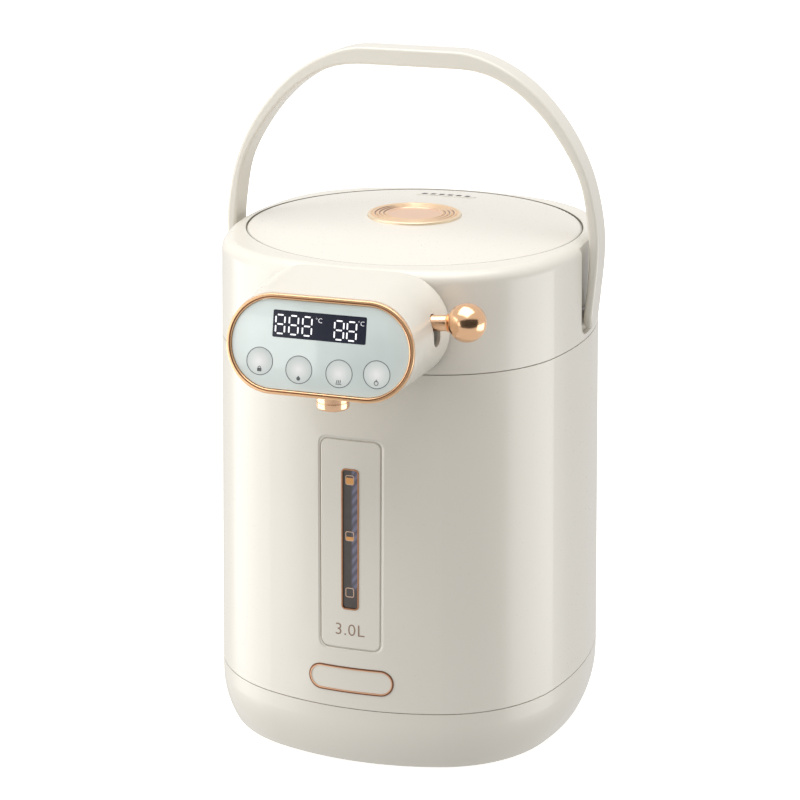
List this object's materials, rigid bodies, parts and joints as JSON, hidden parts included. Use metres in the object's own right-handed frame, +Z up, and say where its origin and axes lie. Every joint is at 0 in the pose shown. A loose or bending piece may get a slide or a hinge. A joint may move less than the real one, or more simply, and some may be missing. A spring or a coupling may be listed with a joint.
{
  "type": "electric thermo pot",
  "caption": "Rounded square electric hot water pot with a stadium shaped tap head and display, side lever, front nozzle, level window, round domed lid and folding carry handle.",
  "frame": {"origin": "on the table under the vertical middle axis of the body, midway between its sides", "axes": "+Z up, -Y towards the user and the tap, +X to the side with the lever"},
  "size_m": [0.2058, 0.2532, 0.3633],
  "materials": {
    "cream_plastic": "satin cream moulded plastic",
    "pale_plastic": "satin off-white moulded plastic",
    "rubber": "matt black rubber",
    "silicone": "translucent white silicone",
    "steel": "zinc plated steel",
    "stainless": "drawn stainless steel",
    "motor_steel": "plated steel can",
    "clear_glass": "clear glass",
    "smoked_window": "smoked clear plastic",
    "display_glass": "tinted cover glass",
    "black_plastic": "matt black plastic",
    "red_plastic": "red plastic",
    "inner_plastic": "natural white plastic",
    "circuit_board": "green circuit board",
    "cast_aluminium": "cast aluminium",
    "felt": "needled insulation felt",
    "rose_gold": "polished rose gold plating",
    "brass": "brass contact"
  },
  "bodies": {
    "pot": {"badge_ring": "rose_gold", "base_screws": "steel", "base_tray": "cream_plastic", "board_posts": "inner_plastic", "body_shell": "cream_plastic", "clip_screws": "steel", "collar": "cream_plastic", "delivery_hose": "silicone", "display_board": "circuit_board", "display_glass": "display_glass", "display_module": "black_plastic", "handle_pins": "steel", "head_base": "inner_plastic", "head_housing": "cream_plastic", "heater_plate": "cast_aluminium", "inlet_pins": "brass", "inner_pot": "stainless", "insulation_jacket": "felt", "lens_seat": "inner_plastic", "lever_bracket": "inner_plastic", "lever_pin": "steel", "lever_spring": "steel", "main_board": "circuit_board", "nozzle": "rose_gold", "outlet_hose": "silicone", "pot_clips": "steel", "pot_gasket": "silicone", "power_inlet": "black_plastic", "pump_bracket": "motor_steel", "pump_housing": "inner_plastic", "pump_motor": "motor_steel", "rubber_feet": "rubber", "sight_tube": "clear_glass", "suction_hose": "silicone", "switch_body": "black_plastic", "tap_screws": "steel", "temperature_sensor": "cast_aluminium", "thermal_cutout": "black_plastic", "touch_board": "circuit_board", "trim_ring": "rose_gold", "window_bezel": "rose_gold", "window_lens": "smoked_window"},
    "lid": {"lid_cover": "pale_plastic", "lid_liner": "stainless", "lid_gasket": "silicone", "lid_medallion": "rose_gold", "steam_grille": "pale_plastic"},
    "steam_float": {"steam_valve": "silicone"},
    "handle": {"handle": "cream_plastic"},
    "tap_lever": {"tap_lever": "rose_gold", "lever_ball": "rose_gold"},
    "switch_plunger": {"switch_plunger": "red_plastic"},
    "impeller": {"pump_impeller": "inner_plastic"}
  },
  "joints": [
    {"name": "handle_fold", "type": "hinge", "parent": "pot", "child": "handle", "pos_m": [0, 0, 0.23], "axis": [1, 0, 0], "range_deg": [-90, 0]},
    {"name": "lid_lift", "type": "slide", "parent": "pot", "child": "lid", "axis": [0, 0, 1], "range_m": [0, 0.03]},
    {"name": "steam_float_rise", "type": "slide", "parent": "lid", "child": "steam_float", "axis": [0, 0, 1], "range_m": [0, 0.0015]},
    {"name": "lever_press", "type": "hinge", "parent": "pot", "child": "tap_lever", "pos_m": [0.018, -0.1125, 0.246], "axis": [0, 1, 0], "range_deg": [0, 14], "stiffness_Nm_per_rad": 0.25, "springref_deg": -14.32, "deforming": ["lever_spring"]},
    {"name": "switch_press", "type": "slide", "parent": "pot", "child": "switch_plunger", "axis": [0, 0, -1], "range_m": [0, 0.0019]},
    {"name": "impeller_spin", "type": "hinge", "parent": "pot", "child": "impeller", "pos_m": [-0.034, -0.04, 0.03], "axis": [0, 0, 1], "continuous": true}
  ],
  "couplings": [
    {"joint": "switch_press", "follows": "lever_press", "m_per_rad": 0.0076}
  ]
}
